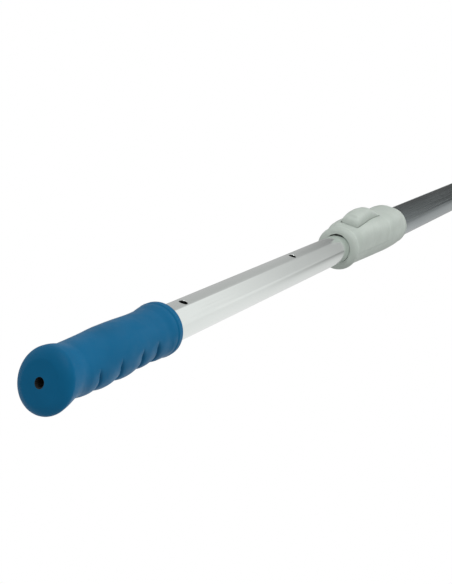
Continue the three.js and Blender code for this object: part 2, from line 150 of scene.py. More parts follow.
def add_camera():
    data = bpy.data.cameras.new("camera")
    data.sensor_width = 36.0
    data.lens = 36.0 * FOCAL_PIXELS / FRAME_HEIGHT
    data.clip_start, data.clip_end = 0.01, 50.0
    camera = bpy.data.objects.new("camera", data)
    bpy.context.scene.collection.objects.link(camera)
    up = CAMERA_BACK.cross(CAMERA_RIGHT)
    turn = Matrix((CAMERA_RIGHT, up, CAMERA_BACK)).transposed().to_4x4()
    camera.matrix_world = Matrix.Translation((CAMERA_AT + SHIFT) * MM) @ turn
    bpy.context.scene.camera = camera


# ---------------------------------------------------------------- materials


class Nodes:
    """A material's node tree with short ways to add what these materials need."""

    def __init__(self, name, colour, roughness, metallic=0.0):
        self.material = bpy.data.materials.new(name)
        self.material.use_nodes = True
        self.tree = self.material.node_tree
        self.shader = self.tree.nodes["Principled BSDF"]
        self.shader.inputs["Base Color"].default_value = (*colour, 1)
        self.shader.inputs["Roughness"].default_value = roughness
        self.shader.inputs["Metallic"].default_value = metallic
        self.place = self.tree.nodes.new("ShaderNodeTexCoord").outputs["Object"]

    def set(self, **values):
        for name, value in values.items():
            self.shader.inputs[name.replace("_", " ")].default_value = value

    def stretched(self, scale):
        node = self.tree.nodes.new("ShaderNodeMapping")
        node.inputs["Scale"].default_value = scale
        self.tree.links.new(self.place, node.inputs["Vector"])
        return node.outputs["Vector"]

    def noise(self, scale, detail=3.0, roughness=0.5, vector=None):
        node = self.tree.nodes.new("ShaderNodeTexNoise")
        node.inputs["Scale"].default_value = scale
        node.inputs["Detail"].default_value = detail
        node.inputs["Roughness"].default_value = roughness
        self.tree.links.new(vector or self.place, node.inputs["Vector"])
        return node.outputs["Fac"]

    def ramp(self, value, stops):
        node = self.tree.nodes.new("ShaderNodeValToRGB")
        elements = node.color_ramp.elements
        while len(elements) < len(stops):
            elements.new(0.5)
        for element, (at, colour) in zip(elements, stops):
            element.position = at
            element.color = (*colour, 1)
        self.tree.links.new(value, node.inputs["Fac"])
        return node.outputs["Color"]

    def span(self, value, bottom, top):
        """Stretches the middle of a noise's range over bottom to top."""
        node = self.tree.nodes.new("ShaderNodeMapRange")
        node.inputs["From Min"].default_value = 0.35
        node.inputs["From Max"].default_value = 0.65
        node.inputs["To Min"].default_value = bottom
        node.inputs["To Max"].default_value = top
        self.tree.links.new(value, node.inputs["Value"])
        return node.outputs["Result"]

    def colour(self, socket):
        self.tree.links.new(socket, self.shader.inputs["Base Color"])

    def roughness(self, socket):
        self.tree.links.new(socket, self.shader.inputs["Roughness"])

    def bump(self, height, strength, distance):
        node = self.tree.nodes.new("ShaderNodeBump")
        node.inputs["Strength"].default_value = strength
        node.inputs["Distance"].default_value = distance
        self.tree.links.new(height, node.inputs["Height"])
        self.tree.links.new(node.outputs["Normal"], self.shader.inputs["Normal"])
        return self


def grip_rubber():
    m = Nodes("grip_rubber", (0.002, 0.121, 0.265), 0.45)
    m.set(Specular_IOR_Level=0.11)
    patches = m.noise(30, 3)
    m.colour(m.ramp(patches, [(0.3, (0.001, 0.112, 0.245)), (0.7, (0.002, 0.130, 0.285))]))
    m.roughness(m.span(m.noise(160, 3), 0.38, 0.50))
    return m.bump(m.noise(2600, 2), 0.12, 0.00008).material


def tube_metal(name, dull, bright, smooth, rough):
    """Drawn and anodised: fine streaks along the tube in its tone, its roughness and its bump."""
    m = Nodes(name, bright, smooth, 1.0)
    streaks = m.noise(1.0, 4, 0.6, m.stretched((5, 700, 700)))
    clouds = m.noise(1.0, 2, 0.5, m.stretched((14, 60, 60)))
    m.colour(m.ramp(clouds, [(0.3, dull), (0.7, bright)]))
    m.roughness(m.span(streaks, smooth, rough))
    return m.bump(streaks, 0.025, 0.00002).material


# Near black and rough, for the walls inside tubes and holes: the dark colour is painted shade.
def tube_inside():
    m = Nodes("tube_inside", (0.05, 0.05, 0.05), 0.7, 0.6)
    m.colour(m.ramp(m.noise(200, 3), [(0.3, (0.03, 0.03, 0.03)), (0.7, (0.07, 0.07, 0.07))]))
    m.roughness(m.span(m.noise(400, 2), 0.6, 0.8))
    return m.material


def grey_plastic():
    m = Nodes("grey_plastic", (0.46, 0.51, 0.47), 0.5)
    m.set(Specular_IOR_Level=0.35)
    m.colour(m.ramp(m.noise(60, 3), [(0.3, (0.43, 0.48, 0.44)), (0.7, (0.47, 0.52, 0.48))]))
    m.roughness(m.span(m.noise(300, 2), 0.44, 0.58))
    return m.bump(m.noise(3200, 2), 0.15, 0.00006).material


def white_plastic():
    m = Nodes("white_plastic", (0.72, 0.72, 0.68), 0.4)
    m.colour(m.ramp(m.noise(80, 2), [(0.3, (0.68, 0.68, 0.64)), (0.7, (0.76, 0.76, 0.72))]))
    m.roughness(m.span(m.noise(220, 2), 0.34, 0.46))
    return m.bump(m.noise(2600, 2), 0.08, 0.00005).material


def steel():
    m = Nodes("steel", (0.55, 0.55, 0.56), 0.3, 1.0)
    m.colour(m.ramp(m.noise(300, 2), [(0.3, (0.50, 0.50, 0.51)), (0.7, (0.60, 0.60, 0.61))]))
    m.roughness(m.span(m.noise(500, 3), 0.22, 0.38))
    return m.bump(m.noise(1500, 2), 0.06, 0.00003).material


def back_plastic():
    m = Nodes("back_plastic", (0.010, 0.11, 0.25), 0.4)
    m.set(Specular_IOR_Level=0.4)
    m.colour(m.ramp(m.noise(26, 2), [(0.3, (0.009, 0.10, 0.23)), (0.7, (0.012, 0.12, 0.27))]))
    m.roughness(m.span(m.noise(180, 3), 0.34, 0.48))
    return m.bump(m.noise(2200, 2), 0.12, 0.00007).material


def bumper_rubber():
    m = Nodes("bumper_rubber", (0.007, 0.055, 0.13), 0.6)
    m.colour(m.ramp(m.noise(90, 3), [(0.3, (0.006, 0.048, 0.115)), (0.7, (0.009, 0.062, 0.145))]))
    m.roughness(m.span(m.noise(260, 3), 0.55, 0.72))
    return m.bump(m.noise(1800, 3), 0.2, 0.0001).material


def nylon():
    m = Nodes("nylon", (0.80, 0.83, 0.84), 0.35)
    m.set(Subsurface_Weight=0.15, Subsurface_Scale=0.001)
    tone = m.noise(240, 1, 0.5, m.stretched((1, 1, 0.05)))
    m.colour(m.ramp(tone, [(0.3, (0.66, 0.70, 0.72)), (0.7, (0.88, 0.90, 0.90))]))
    m.roughness(m.span(m.noise(400, 1), 0.28, 0.42))
    return m.material


# Painted shade for the insides of the tubes and the hang hole.
PAINTED_BORE_SHADE = tube_inside()
MATERIALS = {
    "grip_blue": grip_rubber(),
    "bright_aluminium": tube_metal(
        "bright_tube", (0.82, 0.86, 0.835), (0.86, 0.90, 0.875), 0.10, 0.17
    ),
    "anodised_aluminium": tube_metal(
        "anodised_tube", (0.54, 0.61, 0.62), (0.59, 0.66, 0.67), 0.13, 0.19
    ),
    "grey_plastic": grey_plastic(),
    "white_plastic": white_plastic(),
    "stainless_steel": steel(),
    "back_blue": back_plastic(),
    "bumper_rubber": bumper_rubber(),
    "nylon_bristle": nylon(),
}


# ---------------------------------------------------------------- mesh tools


def made(name, vertices, faces, place=None, smooth=35.0):
    """A mesh object from vertices in millimetres, placed in the row's frame."""
    mesh = bpy.data.meshes.new(name)
    mesh.from_pydata([tuple(c * MM for c in v) for v in vertices], [], faces)
    mesh.validate()
    thing = bpy.data.objects.new(name, mesh)
    bpy.context.scene.collection.objects.link(thing)
    recalculated(thing)
    if place is not None:
        turn = place.copy()
        turn.translation *= MM
        mesh.transform(turn)
    shaded(thing, smooth)
    return thing


def recalculated(thing):
    shape = bmesh.new()
    shape.from_mesh(thing.data)
    bmesh.ops.recalc_face_normals(shape, faces=shape.faces)
    shape.to_mesh(thing.data)
    shape.free()


def shaded(thing, angle=35.0):
    thing.data.shade_smooth()
    thing.data.set_sharp_from_angle(angle=math.radians(angle))


def finished(thing, body, slot, *nodes):
    """Gives the piece its material and body, and hides the CAD nodes that it stands for."""
    thing.data.transform(Matrix.Translation(SHIFT * MM))
    thing.data.materials.clear()
    thing.data.materials.append(MATERIALS[slot])
    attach(thing, body)
    if nodes:
        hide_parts(*nodes)


def applied(thing, kind, **settings):
    """Adds a modifier, sets it, and bakes it into the mesh."""
    modifier = thing.modifiers.new("step", kind)
    for name, value in settings.items():
        setattr(modifier, name, value)
    graph = bpy.context.evaluated_depsgraph_get()
    baked = bpy.data.meshes.new_from_object(thing.evaluated_get(graph))
    thing.modifiers.clear()
    old, thing.data = thing.data, baked
    baked.name = old.name
    bpy.data.meshes.remove(old)


def joined(thing, *others, operation="UNION"):
    for other in others:
        applied(thing, "BOOLEAN", object=other, operation=operation, solver="EXACT")
        bpy.data.objects.remove(other)
    return thing


def cut(thing, *others):
    return joined(thing, *others, operation="DIFFERENCE")


def bevelled(thing, width, angle):
    applied(
        thing, "BEVEL", width=width * MM, segments=2, limit_method="ANGLE",
        angle_limit=math.radians(angle), use_clamp_overlap=True,
    )
    shaded(thing, angle)


def ring_faces(rings, count, closed=False):
    faces = []
    for i in range(rings if closed else rings - 1):
        for k in range(count):
            a, b = i * count + k, i * count + (k + 1) % count
            up = ((i + 1) % rings) * count
            faces.append((a, b, up + (k + 1) % count, up + k))
    return faces


def loft(name, rings, place=None):
    """A closed skin over rings of points, with a face over each end."""
    count = len(rings[0])
    faces = ring_faces(len(rings), count)
    faces.append(tuple(range(count)))
    last = (len(rings) - 1) * count
    faces.append(tuple(last + k for k in range(count)))
    return made(name, [p for ring in rings for p in ring], faces, place)


def turned(name, profile, segments=96):
    """A closed (x, radius) outline turned round the pole's axis. Every radius is over 0."""
    rings = []
    for x, r in profile:
        angles = [math.tau * k / segments for k in range(segments)]
        rings.append([(x, r * math.cos(a), r * math.sin(a)) for a in angles])
    faces = ring_faces(len(rings), segments, closed=True)
    return made(name, [p for ring in rings for p in ring], faces)


def turned_solid(name, profile, segments=96):
    """An (x, radius) outline turned round the pole's axis and closed over both ends."""
    rings = []
    for x, r in profile:
        angles = [math.tau * k / segments for k in range(segments)]
        rings.append([(x, r * math.cos(a), r * math.sin(a)) for a in angles])
    return loft(name, rings)


def rod(name, start, end, radius, segments=96):
    """A plain round bar along X."""
    return turned_solid(name, [(start, radius), (end, radius)], segments)


def post(name, x, y, profile, segments=48, place=None):
    """(z, radius) outline turned round a line along Z through x, y, closed over both ends."""
    rings = []
    for z, r in profile:
        angles = [math.tau * k / segments for k in range(segments)]
        rings.append([(x + r * math.cos(a), y + r * math.sin(a), z) for a in angles])
    return loft(name, rings, place)


def prism(name, outline, bottom, top, place=None):
    """An (x, y) outline from z = bottom to z = top."""
    rings = [[(x, y, z) for x, y in outline] for z in (bottom, top)]
    return loft(name, rings, place)


def smooth_curve(pairs):
    """A smooth function through (x, value) pairs, level at both ends and with no overshoot."""
    xs = [p[0] for p in pairs]
    vs = [p[1] for p in pairs]
    steps = [(vs[i + 1] - vs[i]) / (xs[i + 1] - xs[i]) for i in range(len(xs) - 1)]
    slopes = [0.0]
    for before, after in zip(steps, steps[1:]):
        slopes.append(0.0 if before * after <= 0 else 2 * before * after / (before + after))
    slopes.append(0.0)

    def value(x):
        if x <= xs[0]:
            return vs[0]
        if x >= xs[-1]:
            return vs[-1]
        i = max(k for k in range(len(xs) - 1) if xs[k] <= x)
        width = xs[i + 1] - xs[i]
        t = (x - xs[i]) / width
        return (
            (2 * t**3 - 3 * t**2 + 1) * vs[i]
            + (t**3 - 2 * t**2 + t) * width * slopes[i]
            + (3 * t**2 - 2 * t**3) * vs[i + 1]
            + (t**3 - t**2) * width * slopes[i + 1]
        )

    return value


def smoothstep(value, start, end):
    t = min(1.0, max(0.0, (value - start) / (end - start)))
    return t * t * (3 - 2 * t)


def rounded_outline(start, end, half, corner):
    """A rectangle with rounded corners as (x, y) points."""
    steps = 6
    points = []
    for cx, cy, first in (
        (end - corner, half - corner, 0), (start + corner, half - corner, 90),
        (start + corner, -half + corner, 180), (end - corner, -half + corner, 270),
    ):
        for i in range(steps + 1):
            a = math.radians(first + 90 * i / steps)
            points.append((cx + corner * math.cos(a), cy + corner * math.sin(a)))
    return points


# ---------------------------------------------------------------- grip

GRIP_TOP = smooth_curve([
    (9, 17.6), (14, 17.4), (25, 15.6), (45, 15.9), (62, 16.6), (75, 16.5), (98, 15.9),
    (107, 16.1), (115.5, 17.2), (117.4, 17.2), (118.4, 17.7), (122, 17.6), (123.4, 17.1), (124, 16.2),
])
GRIP_BOTTOM = smooth_curve([
    (3, 18.6), (7, 18.0), (20, 15.1), (28, 16.2), (52, 17.2), (72, 17.2), (93, 16.5),
    (107, 16.9), (115.5, 17.2), (117.4, 17.2), (118.4, 17.6), (122, 17.5), (123.4, 17.0), (124, 16.1),
])
POMMEL_LEAN, POMMEL_RIM, POMMEL_DOME, NECK = 0.27, 7.4, 6.7, 27.0
POMMEL_FACE, POMMEL_CROWN, POMMEL_EDGE = 0.68, 0.5, math.radians(34)


def crease(x):
    """How deep the finger grooves are at x, at the very bottom of the grip."""
    if not CREASES[0] < x < CREASES[-1]:
        return 0.0
    i = max(k for k in range(len(CREASES)) if CREASES[k] <= x)
    start, end = CREASES[i], CREASES[i + 1]
    share = (x - start) / (end - start)
    fade = share if i == 0 else 1 - share if i == len(CREASES) - 2 else 1.0
    bulge = math.sqrt(max(0.0, math.sin(math.pi * share**0.75)))
    nearest = min(abs(x - c) for c in CREASES[1:-1])
    line = CREASE_LINE * math.exp(-((nearest / CREASE_LINE_WIDTH) ** 2))
    return CREASE_DEPTH * (1 - bulge) * fade + line


def grip_radius(x, angle):
    height = math.sin(angle)
    share = (1 + height) / 2
    base = GRIP_BOTTOM(x) * (1 - share) + GRIP_TOP(x) * share
    return base - crease(x + CREASE_LEAN * (1 + height)) * smoothstep(-height, -0.1, 0.35)


def grip_ring(centre, lean, scale=1.0, at=None):
    """A ring of points round the grip, leaning forward at its foot, with the radius found at x = at."""
    count = 160
    points = []
    for k in range(count):
        angle = math.tau * k / count
        z = math.sin(angle)
        radius = scale * grip_radius((at or centre) + lean * z * GRIP_R, angle)
        points.append((centre + lean * z * radius, radius * math.cos(angle), radius * z))
    return points


def add_grip():
    """A nearly flat end face, an edge, a rounded rim, then the leaning neck and the straight part."""
    rings = []
    for i in range(1, 13):
        share = i / 12
        depth = POMMEL_DOME - POMMEL_CROWN * share**2
        rings.append(grip_ring(POMMEL_RIM - depth, POMMEL_LEAN, POMMEL_FACE * share, POMMEL_RIM))
    for i in range(1, 20):
        turn = POMMEL_EDGE + (math.pi / 2 - POMMEL_EDGE) * i / 20
        depth = (POMMEL_DOME - POMMEL_CROWN) * math.cos(turn) / math.cos(POMMEL_EDGE)
        spread = (math.sin(turn) - math.sin(POMMEL_EDGE)) / (1 - math.sin(POMMEL_EDGE))
        scale = POMMEL_FACE + (1 - POMMEL_FACE) * spread
        rings.append(grip_ring(POMMEL_RIM - depth, POMMEL_LEAN, scale, POMMEL_RIM))
    steps = 44
    for i in range(steps):
        share = i / steps
        rings.append(grip_ring(POMMEL_RIM + (NECK - POMMEL_RIM) * share, POMMEL_LEAN * (1 - share)))
    for x in np.arange(NECK, GRIP_END - 0.1, 0.5):
        rings.append(grip_ring(x, 0))
    rings.append(grip_ring(GRIP_END, 0))
    grip = loft("grip_moulding", rings)
    bore = rod("bore", GRIP_BORE_START, GRIP_END + 2, SLIDE_BORE)
    cut(grip, bore, rod("hole", -8, GRIP_BORE_START + 1, HANG_HOLE_R, 64))
    shaded(grip, 40)
    finished(grip, "handle", "grip_blue", "grip")
    # The hang hole's wall is painted near black: painted shade.
    paint_bore_shade(grip, HANG_HOLE_R + 0.2)


# ---------------------------------------------------------------- tubes and bushes


def round_shading(thing):
    """Normals straight out from the pole's axis wherever a face is part of a tube's round wall."""
    mesh = thing.data
    normals = []
    for polygon in mesh.polygons:
        for index in polygon.vertices:
            at = mesh.vertices[index].co
            out = Vector((0, at.y, at.z)).normalized()
            facing = out.dot(polygon.normal)
            on_wall = abs(facing) > 0.97
            normals.append(out * math.copysign(1, facing) if on_wall else polygon.normal.copy())
    mesh.normals_split_custom_set(normals)


def tube(name, start, end, radius, cutters):
    lip = 0.25
    bore = radius - WALL
    profile = [
        (start, bore + lip), (start, radius - lip), (start + lip, radius), (end - lip, radius),
        (end, radius - lip), (end, bore + lip), (end - lip, bore), (start + lip, bore),
    ]
    pipe = turned(name, profile, segments=144)
    cut(pipe, *cutters)
    pipe.data.transform(CLOCKED)
    shaded(pipe, 30)
    round_shading(pipe)
    return pipe


def paint_bore_shade(thing, limit):
    """The inside of a tube or a deep hole gets a rougher surface and a near black colour, which is painted shade.
    """
    mesh = thing.data
    mesh.materials.append(PAINTED_BORE_SHADE)
    for polygon in mesh.polygons:
        out = (polygon.center / MM - SHIFT).yz.length
        polygon.material_index = int(out < limit and abs(polygon.normal.x) < 0.99)


def drilled(x, bottom, top, radius):
    """A plain drill along Z."""
    return post("drill", x, 0, [(bottom, radius), (top, radius)], 40)


def crosswise(thing, x, z=0.0):
    """Turns a piece that stands along Z to lie along Y, and puts it at x, z."""
    thing.data.transform(Matrix.Rotation(math.pi / 2, 4, "X"))
    thing.data.transform(Matrix.Translation((x * MM, 0, z * MM)))
    return thing


def countersunk(x, side, surface, radius, chamfer=0.14):
    """A drill for a hole whose outer rim is broken to a small chamfer."""
    reach = chamfer + 2
    profile = [
        (side * 4, radius), (side * (surface - chamfer), radius), (side * (surface + 2), radius + reach),
    ]
    return post("drill", x, 0, profile, 40)


def add_inner_tube():
    cutters = [countersunk(x, side, INNER_R, LOCK_HOLE_R) for x in LOCK_HOLES for side in (1, -1)]
    pipe = tube("inner_tube_drawn", INNER_START, INNER_END, INNER_R, cutters)
    finished(pipe, "handle", "bright_aluminium", "inner_tube")
    # The tube's bore is painted near black: painted shade.
    paint_bore_shade(pipe, INNER_R - 0.3)


def add_outer_tube():
    cutters = [drilled(PIN_X, 8, 20, PIN_HOLE_R)]
    for x in COLLAR_SCREWS.values():
        cutters.append(drilled(x, -20, -8, SCREW_HOLE_R))
    clip_hole = crosswise(drilled(0, -20, 20, CLIP_HOLE_R), CLIP_X)
    clip_hole.data.transform(CLOCKED.inverted())
    cutters.append(clip_hole)
    pipe = tube("outer_tube_drawn", OUTER_START, OUTER_END, OUTER_R, cutters)
    finished(pipe, "outer_pole", "anodised_aluminium", "outer_tube")
    # The tube's bore is painted near black: painted shade.
    paint_bore_shade(pipe, OUTER_R - 0.3)


def add_bushes():
    liner = turned("liner_sleeve", [
        (446.4, 13.3), (446.6, 15.6), (446.8, 15.8), (451.3, 15.8), (451.6, 15.5), (451.7, 14.4),
        (452, 14.3), (521.2, 14.3), (521.5, 14.0), (521.5, 13.3), (521.2, 13.05), (446.6, 13.05),
    ])
    cut(liner, drilled(PIN_X, 8, 20, PIN_HOLE_R - 0.2))
    liner.data.transform(CLOCKED)
    shaded(liner, 30)
    finished(liner, "outer_pole", "white_plastic", "liner_bush")
    start, end = span_of("guide_bush")
    guide = turned("guide_sleeve", [
        (start, 13.4), (start, 13.9), (start + 1.2, 14.3), (start + 14, 14.3), (start + 15, 13.9),
        (end - 15, 13.9), (end - 14, 14.3), (end - 1.2, 14.3), (end, 13.9), (end, 13.4),
        (end - 0.5, 13.05), (start + 0.5, 13.05),
    ])
    finished(guide, "guide", "white_plastic", "guide_bush")
    start, end = span_of("retaining_ring")
    ring = turned("snap_ring", [
        (start, 13.1), (start, 14.0), (start + 0.2, 14.2), (end - 0.2, 14.2), (end, 14.0),
        (end, 13.1), (end - 0.1, 13.0), (start + 0.1, 13.0),
    ])
    finished(ring, "handle", "stainless_steel", "retaining_ring")
    start, end = span_of("inner_tube_plug")
    plug = turned_solid("tube_end_plug", [
        (start, 10.4), (start + 0.8, 11.2), (INNER_END + 0.3, 11.2), (INNER_END + 0.35, 13.6),
        (INNER_END + 0.7, 14.0), (end - 0.8, 14.0), (end, 13.2), (end, 8.6), (end - 0.6, 8.0),
        (start + 4, 8.0), (start + 3, 7.0),
    ])
    finished(plug, "handle", "white_plastic", "inner_tube_plug")


# ---------------------------------------------------------------- collar and lever

COLLAR_R = smooth_curve([
    (440, 15.2), (440.3, 16.2), (440.9, 17.3), (441.8, 18.3), (443, 19.1), (444.5, 19.5), (445.4, 19.4),
    (446.2, 18.9), (447.4, 18.2), (449.5, 18.0), (454, 18.2), (470, 18.45), (500, 19.2), (530, 19.8),
    (556, 20.3), (576, 20.0), (588, 19.3), (593.6, 18.6), (594.6, 18.7), (595.6, 19.1), (596.6, 19.0),
    (597.5, 18.3), (598, 17.4),
])
SADDLE_TOP = smooth_curve([
    (443, 17.5), (450, 20.0), (456, 21.2), (470, 22.6), (490, 22.6), (505, 22.2), (520, 21.5),
    (534, 20.8), (543, 21.0), (553, 21.7), (565, 22.3), (576, 22.4), (585, 21.3), (592, 18.8),
])
SADDLE_SIDE = smooth_curve([
    (443, 14.0), (456, 17.9), (500, 18.7), (531, 19.4), (540, 18.4), (566, 18.6), (592, 16),
])
SADDLE_START, SADDLE_END = 443, 592
SADDLE_SQUARENESS, SADDLE_BLEND = 3.2, 24
PAD_X, PAD_REACH, PAD_HEIGHT = 460.4, 1.5, 1.1
LEVER_HALF = smooth_curve([
    (455.5, 5.2), (456.3, 7.0), (459.5, 8.2), (468, 8.0), (480, 7.2), (492, 6.0), (506, 5.0),
    (520, 4.3), (531, 4.0), (533.4, 3.2), (534, 1.6),
])
LEVER_TOP = smooth_curve([
    (455.5, 24.6), (455.8, 25.6), (456.6, 26.8), (458.2, 28.2), (463, 30.6), (470, 32.4), (479, 33.3),
    (488, 33.1), (498, 31.8), (508, 29.6), (518, 26.8), (527, 24.1), (533.2, 22.4), (534, 21.6),
])
LEVER_BOTTOM = smooth_curve([(455.5, 17.6), (470, 17.6), (474, 16.4), (484, 16.6), (534, 19.3)])


def collar_radius(x, angle):
    """Distance from the axis to the collar's skin; angle 0 points at the lever."""
    circle = COLLAR_R(x)
    if not SADDLE_START < x < SADDLE_END or abs(angle) >= math.pi / 2:
        return circle
    across = abs(math.sin(angle)) / SADDLE_SIDE(x)
    upward = abs(math.cos(angle)) / SADDLE_TOP(x)
    arch = (across**SADDLE_SQUARENESS + upward**SADDLE_SQUARENESS) ** (-1 / SADDLE_SQUARENESS)
    return (circle**SADDLE_BLEND + arch**SADDLE_BLEND) ** (1 / SADDLE_BLEND)


def lever_outline(margin):
    """The lever's outline from above, grown by a margin, as (x, y) points."""
    steps = 60
    side = []
    for i in range(steps + 1):
        share = (1 - math.cos(math.pi * i / steps)) / 2
        x = LEVER_START + (LEVER_END - LEVER_START) * share
        stretched = LEVER_START - margin + (LEVER_END - LEVER_START + 2 * margin) * share
        side.append((stretched, LEVER_HALF(x) + margin))
    return side + [(x, -y) for x, y in reversed(side)]


def add_collar():
    count = 240
    rings = []
    front, middle, back = np.arange(440, 446, 0.4), np.arange(446, 590, 1.2), np.arange(590, 598.01, 0.5)
    for x in [*front, *middle, *back]:
        ring = []
        for k in range(count):
            angle = math.tau * k / count - math.pi
            r = collar_radius(x, angle)
            ring.append((x, r * math.sin(angle), r * math.cos(angle)))
        rings.append(ring)
    collar = loft("collar_moulding", rings)
    mouth = rod("mouth", COLLAR_START - 1, COLLAR_SHELF + 1, MOUTH_R)
    ends = (COLLAR_START - 1, COLLAR_SHELF + 1)
    arch = loft("arch", [[(x, y, z) for y, z in MOUTH_ARCH] for x in ends], CLOCKED.inverted())
    cut(collar, rod("bore", COLLAR_SHELF, COLLAR_END + 1, COLLAR_BORE), mouth, arch)
    cut(collar, prism("window", lever_outline(LEVER_GAP), 14, 30))
    cut(collar, crosswise(post("drill", 0, 0, [(-20, 1.7), (10.5, 1.7)], 32), PIVOT_X, PIVOT_Z))
    for x in COLLAR_SCREWS.values():
        profile = [(-25, 3.4), (-18, 3.4), (-18, SCREW_HOLE_R), (-10, SCREW_HOLE_R)]
        cut(collar, post("drill", x, 0, profile, 40))
    bevelled(collar, 0.3, 45)
    collar.data.transform(CLOCKED)
    finished(collar, "outer_pole", "grey_plastic", "collar_body")


def add_lever():
    rings = []
    count = 40
    xs = sorted(set(
        [455.5, 455.6, 455.8, 456.1, 456.6, 457.2, 458.2, 532.6, 533.2, 533.6, 533.85, 534]
        + list(np.arange(458.6, 466, 0.4)) + list(np.arange(466.6, 532, 1.0))
    ))
    for x in xs:
        half, top, bottom = LEVER_HALF(x), LEVER_TOP(x), LEVER_BOTTOM(x)
        shoulder = bottom + 0.45 * (top - bottom)
        ring = []
        for i in range(count + 1):
            angle = math.pi * i / count
            y = half * math.copysign(abs(math.cos(angle)) ** 0.72, math.cos(angle))
            z = shoulder + (top - shoulder) * math.sin(angle) ** 0.8
            pad = math.exp(-(((x - PAD_X) / PAD_REACH) ** 4)) * smoothstep(-abs(y), -4.8, -3.6)
            ring.append((x, y, z + PAD_HEIGHT * pad * math.sin(angle)))
        ring.append((x, -half * 0.97, bottom))
        ring.append((x, half * 0.97, bottom))
        rings.append(ring)
    lever = loft("lever_moulding", rings)
    cut(lever, post("pocket", SPRING_X, 0, [(10, 4.2), (25.3, 4.2)]))
    cut(lever, post("socket", PIN_X, 0, [(10, 2.6), (22.3, 2.6)]))
    cut(lever, crosswise(post("drill", 0, 0, [(-20, 1.65), (20, 1.65)], 32), PIVOT_X, PIVOT_Z))
    shaded(lever, 45)
    lever.data.transform(CLOCKED)
    finished(lever, "lever", "grey_plastic", "lever")


def add_lock_parts():
    profile = [(12.95, 1.7), (13.15, 2.0), (13.5, 2.3), (21.6, 2.3), (22, 1.9)]
    pin = post("lock_peg", PIN_X, 0, profile, place=CLOCKED)
    finished(pin, "lever", "stainless_steel", "lock_pin")
    shaft = post("pivot_shaft", 0, 0, [(-11.6, 1.2), (-11.3, 1.5), (9.9, 1.5), (10.2, 1.2)], 40)
    crosswise(shaft, PIVOT_X, PIVOT_Z)
    shaft.data.transform(CLOCKED)
    finished(shaft, "outer_pole", "stainless_steel", "lever_pivot_pin")
    for name, x in COLLAR_SCREWS.items():
        profile = [
            (SCREW_HEAD_Z, 2.4), (-19.55, 2.9), (-19.2, 3.1), (-18.3, 3.1), (-18.25, 1.6), (-15.2, 1.6),
            (-14.8, 0.8),
        ]
        screw = post(name + "_turned", x, 0, profile)
        cut(screw, *cross_slot(x, 0, SCREW_HEAD_Z, 2.2))
        shaded(screw, 30)
        screw.data.transform(CLOCKED)
        finished(screw, "outer_pole", "stainless_steel", name)


def cross_slot(x, y, z, reach, place=None):
    """Two crossed cutters for a screw's recess, centred on its head."""
    cutters = []
    for long, wide in ((reach, 0.4), (0.4, reach)):
        outline = [(x - long, y - wide), (x + long, y - wide), (x + long, y + wide), (x - long, y + wide)]
        cutters.append(prism("recess", outline, z - 0.9, z + 0.9, place))
    return cutters


def add_spring():
    turns, radius, wire = 4.5, 2.8, 0.4
    foot, height = 16.8, 7.5
    steps, sides = 160, 12
    rings = []
    for i in range(steps + 1):
        t = i / steps
        a = math.tau * turns * t
        centre = Vector((SPRING_X + radius * math.cos(a), radius * math.sin(a), foot + height * t))
        outward = Vector((math.cos(a), math.sin(a), 0))
        rings.append([
            tuple(centre + wire * (math.cos(b) * outward + math.sin(b) * Vector((0, 0, 1))))
            for b in (math.tau * k / sides for k in range(sides))
        ])
    coil = loft("lever_coil", rings, CLOCKED)
    finished(coil, "outer_pole", "stainless_steel", "lever_spring")


# ---------------------------------------------------------------- clip-on head


def add_bracket():
    start = span_of("head_bracket")[0]
    shoulder = OUTER_END + 0.3
    body = turned_solid("bracket_moulding", [
        (start, 12.9), (start + 0.6, 13.5), (start + 2.2, SPIGOT_R), (shoulder, SPIGOT_R),
        (shoulder + 0.02, 15.3), (shoulder + 0.5, SHOULDER_R), (HEAD_X - 34, SHOULDER_R),
        (HEAD_X - 28, 15.2), (HEAD_X + 26, 12),
    ])
    below = prism("below", rounded_outline(-90, 90, 60, 1), -90, 1, HEAD_PLACE)
    foot = prism("foot", rounded_outline(-19, 30, 30, 8), 0.3, FOOT_TOP, HEAD_PLACE)
    gable = [(-27, 2), (27, 2), (27, FOOT_TOP + 0.8), (13, 14), (-13, 14), (-27, FOOT_TOP + 0.8)]
    web = loft("web", [[(a, b, n) for b, n in gable] for a in (3, 6)], HEAD_PLACE)
    joined(cut(body, below), foot, web)
    cut(body, rod("bore", start - 1, SPIGOT_BORE_END, SPIGOT_BORE))
    cut(body, crosswise(post("drill", 0, 0, [(-20, 4.8), (20, 4.8)]), CLIP_X))
    for x, y in FOOT_SCREWS:
        cut(body, post("drill", x, y, [(-1, SCREW_HOLE_R), (6, SCREW_HOLE_R)], 32, HEAD_PLACE))
    bevelled(body, 0.6, 40)
    finished(body, "outer_pole", "grey_plastic", "head_bracket")


def add_clip_buttons():
    for word, side in (("left", 1), ("right", -1)):
        profile = [(8, 5.0), (8.2, 5.2), (9.2, 5.2), (9.4, 5.0), (9.45, CLIP_R), (16.2, CLIP_R)]
        for i in range(1, 8):
            turn = math.radians(90 * i / 8)
            profile.append((16.2 + 1.7 * math.sin(turn), CLIP_R * math.cos(turn) ** 0.6))
        button = post("button_" + word, 0, 0, profile)
        button.data.transform(Matrix.Rotation(-side * math.pi / 2, 4, "X"))
        button.data.transform(Matrix.Translation((CLIP_X * MM, 0, 0)))
        finished(button, "clip_" + word, "white_plastic", "clip_button_" + word)


def sweep_point(distance, depth):
    """Sideways place and height of a point along the back, at a depth below the top of the back."""
    side = math.copysign(1, distance)
    flat = min(abs(distance), FLAT_HALF)
    angle = (abs(distance) - flat) / BEND_R
    reach = BEND_R + depth
    return side * (flat + reach * math.sin(angle)), BEND_R - reach * math.cos(angle)


def swept_rings(stations):
    """Rings of points from (distance along the back, [(a, depth), ...]) pairs."""
    rings = []
    for distance, section in stations:
        ring = []
        for a, depth in section:
            b, n = sweep_point(distance, depth)
            ring.append((a, b, n))
        rings.append(ring)
    return rings


